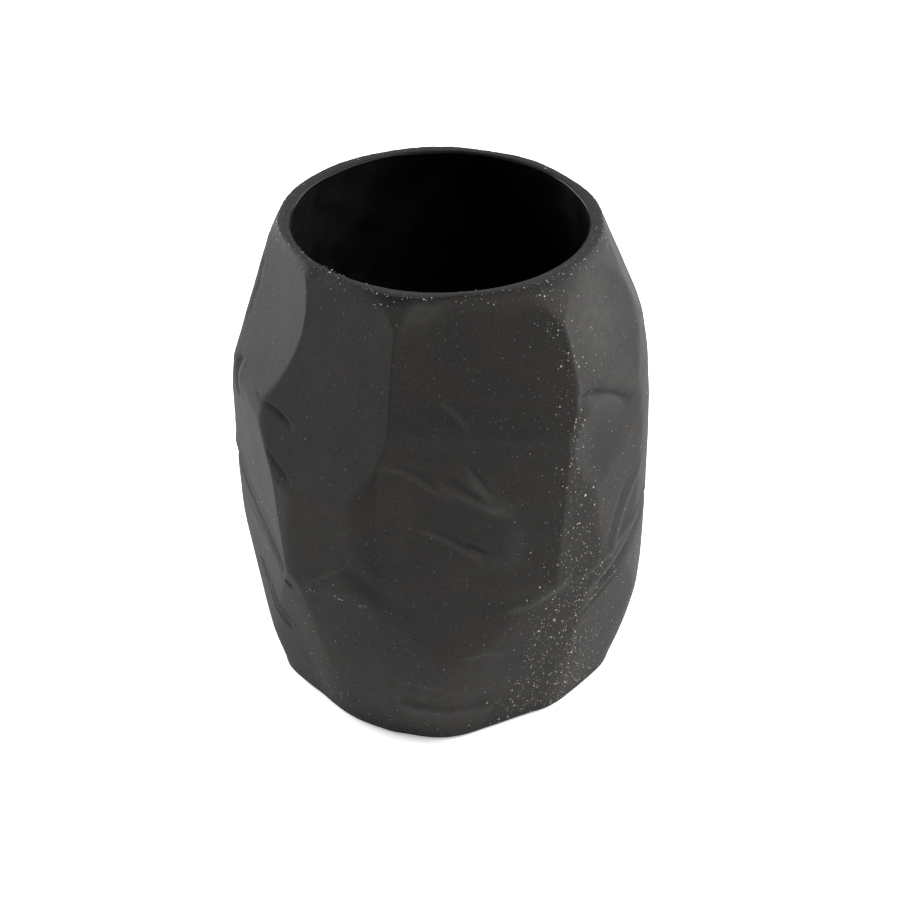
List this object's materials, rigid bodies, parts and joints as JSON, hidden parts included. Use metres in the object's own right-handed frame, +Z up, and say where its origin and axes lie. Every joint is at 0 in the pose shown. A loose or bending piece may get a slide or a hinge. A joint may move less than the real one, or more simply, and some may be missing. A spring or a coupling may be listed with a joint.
{
  "type": "empty ceramic candle jar",
  "caption": "Hand-carved faceted stoneware candle vessel, empty, with a wide round mouth, a gloss glazed inside and a flat base.",
  "frame": {"origin": "centre of the flat base, on the axis of the mouth", "axes": "+Z up through the mouth; -Y is the front"},
  "size_m": [0.09, 0.0888, 0.11],
  "materials": {
    "bare_clay": "matte",
    "black_glaze": "gloss"
  },
  "bodies": {
    "root": {"stoneware_body": "bare_clay", "glaze_lining": "black_glaze"}
  },
  "joints": []
}
